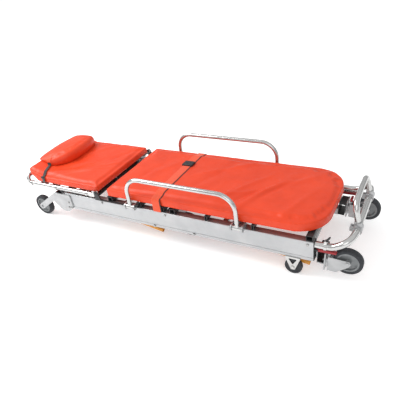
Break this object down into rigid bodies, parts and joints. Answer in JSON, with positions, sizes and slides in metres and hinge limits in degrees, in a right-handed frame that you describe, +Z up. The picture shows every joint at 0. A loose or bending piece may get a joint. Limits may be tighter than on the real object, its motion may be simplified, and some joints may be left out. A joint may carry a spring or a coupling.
{
  "type": "stretcher trolley",
  "caption": "Self-loading ambulance stretcher, stored low: tilting backrest, folding legs on coupled struts, loading and caster wheels, guard rails, push handle, cushions and lap belt",
  "frame": {"origin": "Centre of the bounding box on the floor, with the stretcher stored low and level", "axes": "+X towards the foot end, +Y towards the patient's left, +Z up"},
  "size_m": [1.915, 0.568, 0.384],
  "materials": {
    "silver": "satin",
    "grey_metal": "satin",
    "steel": "satin",
    "bright": "gloss",
    "black": "satin",
    "black_aluminium": "satin",
    "black_plastic": "satin",
    "grey_plastic": "satin",
    "ochre": "satin",
    "red": "satin",
    "rubber": "matte",
    "vinyl": "satin",
    "webbing": "matte"
  },
  "bodies": {
    "frame": {"beam_right": "silver", "beam_left": "silver", "beam_end_caps": "black_plastic", "frame_cross_tubes": "grey_metal", "deck_slats": "black_aluminium", "loading_arms": "grey_metal", "loading_gussets": "grey_metal", "aux_wheel_brackets": "silver", "leg_pivot_pins": "grey_metal", "guard_hinge_blocks": "grey_metal", "back_hinge_brackets": "black", "foot_handle": "silver", "frame_bolts": "bright", "quadrant_lock": "black_aluminium", "leg_cushion": "vinyl", "belt": "webbing", "belt_buckle": "black_plastic"},
    "buckle_button": {"buckle_button": "red"},
    "hoop": {"hoop_handle": "silver", "hoop_sleeves": "grey_metal"},
    "catch_lever": {"catch_lever": "black_plastic"},
    "back": {"back_frame": "silver", "back_slats": "black_aluminium", "back_quadrant": "bright", "back_cushion": "vinyl", "pillow": "vinyl"},
    "front_leg": {"front_leg_frame": "grey_metal", "front_leg_bumpers": "ochre", "front_forks": "grey_metal"},
    "front_strut": {"front_struts": "silver"},
    "front_shoe": {"front_strut_shoes": "black_plastic"},
    "rear_leg": {"rear_leg_frame": "grey_metal", "rear_leg_bumpers": "ochre", "rear_leg_ends": "black_aluminium"},
    "rear_strut": {"rear_struts": "silver"},
    "rear_shoe": {"rear_strut_shoes": "black_plastic"},
    "loading_wheel_right": {"loading_tyre_right": "rubber", "loading_hub_right": "grey_plastic"},
    "front_wheel_right": {"front_tyre_right": "rubber", "front_hub_right": "grey_plastic"},
    "rear_wheel_right": {"rear_tyre_right": "rubber", "rear_hub_right": "grey_plastic"},
    "aux_wheel_right": {"aux_wheel_right": "rubber"},
    "guard_right": {"guard_rail_right": "grey_metal"},
    "guard_knob_right": {"guard_knob_right": "black_plastic"},
    "release_lever_right": {"release_lever_right": "red"},
    "rear_fork_right": {"rear_fork_right": "steel"},
    "brake_pedal_right": {"brake_pedal_right": "red"},
    "loading_wheel_left": {"loading_tyre_left": "rubber", "loading_hub_left": "grey_plastic"},
    "front_wheel_left": {"front_tyre_left": "rubber", "front_hub_left": "grey_plastic"},
    "rear_wheel_left": {"rear_tyre_left": "rubber", "rear_hub_left": "grey_plastic"},
    "aux_wheel_left": {"aux_wheel_left": "rubber"},
    "guard_left": {"guard_rail_left": "grey_metal"},
    "guard_knob_left": {"guard_knob_left": "black_plastic"},
    "release_lever_left": {"release_lever_left": "red"},
    "rear_fork_left": {"rear_fork_left": "steel"},
    "brake_pedal_left": {"brake_pedal_left": "red"}
  },
  "joints": [
    {"name": "front_leg_fold", "type": "hinge", "parent": "frame", "child": "front_leg", "pos_m": [-0.57776, 0, 0.1255], "axis": [0, 1, 0], "range_deg": [0, 86]},
    {"name": "front_strut_pivot", "type": "hinge", "parent": "front_leg", "child": "front_strut", "pos_m": [-0.3807, 0, 0.18201], "axis": [0, 1, 0], "range_deg": [-172, 0]},
    {"name": "front_shoe_pivot", "type": "hinge", "parent": "front_strut", "child": "front_shoe", "pos_m": [-0.18364, 0, 0.1255], "axis": [0, 1, 0], "range_deg": [0, 86]},
    {"name": "rear_leg_fold", "type": "hinge", "parent": "frame", "child": "rear_leg", "pos_m": [0.20294, 0, 0.1255], "axis": [0, 1, 0], "range_deg": [0, 86]},
    {"name": "rear_strut_pivot", "type": "hinge", "parent": "rear_leg", "child": "rear_strut", "pos_m": [0.4, 0, 0.18201], "axis": [0, 1, 0], "range_deg": [-172, 0]},
    {"name": "rear_shoe_pivot", "type": "hinge", "parent": "rear_strut", "child": "rear_shoe", "pos_m": [0.59706, 0, 0.1255], "axis": [0, 1, 0], "range_deg": [0, 86]},
    {"name": "backrest_tilt", "type": "hinge", "parent": "frame", "child": "back", "pos_m": [-0.408, 0, 0.24], "axis": [0, 1, 0], "range_deg": [0, 75]},
    {"name": "hoop_fold", "type": "hinge", "parent": "frame", "child": "hoop", "pos_m": [0.911, 0, 0.221], "axis": [0, 1, 0], "range_deg": [0, 95]},
    {"name": "catch_lever_pivot", "type": "hinge", "parent": "frame", "child": "catch_lever", "pos_m": [0.806, -0.237, 0.204], "axis": [0, 1, 0], "range_deg": [0, 30], "stiffness_Nm_per_rad": 0.05, "springref_deg": -11.46},
    {"name": "buckle_press", "type": "slide", "parent": "frame", "child": "buckle_button", "axis": [0, 0, -1], "range_m": [0, 0.0025], "stiffness_N_per_m": 400, "springref_m": -0.001},
    {"name": "loading_wheel_spin_right", "type": "hinge", "parent": "frame", "child": "loading_wheel_right", "pos_m": [-0.895, -0.23, 0.0625], "axis": [0, 1, 0], "continuous": true},
    {"name": "aux_wheel_spin_right", "type": "hinge", "parent": "frame", "child": "aux_wheel_right", "pos_m": [0.669, -0.24, 0.04], "axis": [0, 1, 0], "continuous": true},
    {"name": "front_wheel_spin_right", "type": "hinge", "parent": "front_leg", "child": "front_wheel_right", "pos_m": [0.115, -0.192, 0.11214], "axis": [0, 1, 0], "continuous": true},
    {"name": "rear_swivel_right", "type": "hinge", "parent": "rear_leg", "child": "rear_fork_right", "pos_m": [0.80148, -0.209, 0.08365], "axis": [0.9976, 0, -0.0698], "continuous": true},
    {"name": "rear_wheel_spin_right", "type": "hinge", "parent": "rear_fork_right", "child": "rear_wheel_right", "pos_m": [0.895, -0.209, 0.10217], "axis": [0, 1, 0], "continuous": true},
    {"name": "brake_pedal_pivot_right", "type": "hinge", "parent": "rear_fork_right", "child": "brake_pedal_right", "pos_m": [0.81951, -0.209, 0.12649], "axis": [0, 1, 0], "range_deg": [0, 12]},
    {"name": "guard_fold_right", "type": "hinge", "parent": "frame", "child": "guard_right", "pos_m": [0, -0.269, 0.208], "axis": [1, 0, 0], "range_deg": [0, 178]},
    {"name": "guard_knob_pull_right", "type": "slide", "parent": "frame", "child": "guard_knob_right", "axis": [1, 0, 0], "range_m": [0, 0.008], "stiffness_N_per_m": 500, "springref_m": -0.002},
    {"name": "release_lever_squeeze_right", "type": "hinge", "parent": "frame", "child": "release_lever_right", "pos_m": [0.772, -0.237, 0.156], "axis": [0, 1, 0], "range_deg": [0, 12], "stiffness_Nm_per_rad": 0.6, "springref_deg": -8.59},
    {"name": "loading_wheel_spin_left", "type": "hinge", "parent": "frame", "child": "loading_wheel_left", "pos_m": [-0.895, 0.23, 0.0625], "axis": [0, 1, 0], "continuous": true},
    {"name": "aux_wheel_spin_left", "type": "hinge", "parent": "frame", "child": "aux_wheel_left", "pos_m": [0.669, 0.24, 0.04], "axis": [0, 1, 0], "continuous": true},
    {"name": "front_wheel_spin_left", "type": "hinge", "parent": "front_leg", "child": "front_wheel_left", "pos_m": [0.115, 0.192, 0.11214], "axis": [0, 1, 0], "continuous": true},
    {"name": "rear_swivel_left", "type": "hinge", "parent": "rear_leg", "child": "rear_fork_left", "pos_m": [0.80148, 0.209, 0.08365], "axis": [0.9976, 0, -0.0698], "continuous": true},
    {"name": "rear_wheel_spin_left", "type": "hinge", "parent": "rear_fork_left", "child": "rear_wheel_left", "pos_m": [0.895, 0.209, 0.10217], "axis": [0, 1, 0], "continuous": true},
    {"name": "brake_pedal_pivot_left", "type": "hinge", "parent": "rear_fork_left", "child": "brake_pedal_left", "pos_m": [0.81951, 0.209, 0.12649], "axis": [0, 1, 0], "range_deg": [0, 12]},
    {"name": "guard_fold_left", "type": "hinge", "parent": "frame", "child": "guard_left", "pos_m": [0, 0.269, 0.208], "axis": [-1, 0, 0], "range_deg": [0, 178]},
    {"name": "guard_knob_pull_left", "type": "slide", "parent": "frame", "child": "guard_knob_left", "axis": [1, 0, 0], "range_m": [0, 0.008], "stiffness_N_per_m": 500, "springref_m": -0.002},
    {"name": "release_lever_squeeze_left", "type": "hinge", "parent": "frame", "child": "release_lever_left", "pos_m": [0.772, 0.237, 0.156], "axis": [0, 1, 0], "range_deg": [0, 12], "stiffness_Nm_per_rad": 0.6, "springref_deg": -8.59}
  ],
  "couplings": [
    {"joint": "front_strut_pivot", "follows": "front_leg_fold", "ratio": -2},
    {"joint": "front_shoe_pivot", "follows": "front_leg_fold", "ratio": 1},
    {"joint": "rear_strut_pivot", "follows": "rear_leg_fold", "ratio": -2},
    {"joint": "rear_shoe_pivot", "follows": "rear_leg_fold", "ratio": 1}
  ]
}
